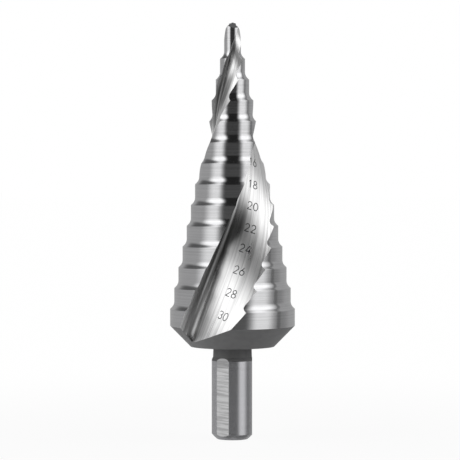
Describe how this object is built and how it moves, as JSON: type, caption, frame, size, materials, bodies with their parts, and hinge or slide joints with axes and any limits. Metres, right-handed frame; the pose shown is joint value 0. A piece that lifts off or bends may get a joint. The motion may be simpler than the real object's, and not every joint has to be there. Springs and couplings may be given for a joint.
{
  "type": "step drill",
  "caption": "Conical step drill ground from one bar, with two right-hand spiral flutes, a split point, a back cone and a round shank with three clamping flats.",
  "frame": {"origin": "centre of the shank's end face, on the tool's axis", "axes": "+Z along the tool's axis from the shank to the point; +X to the right and -Y to the front, with one shank flat facing +X"},
  "size_m": [0.03, 0.03, 0.1],
  "materials": {
    "tool_steel": "ground bright on the steps, flutes and shank, dull grey on the back cone and neck"
  },
  "bodies": {
    "root": {"step_drill": "tool_steel"}
  },
  "joints": []
}
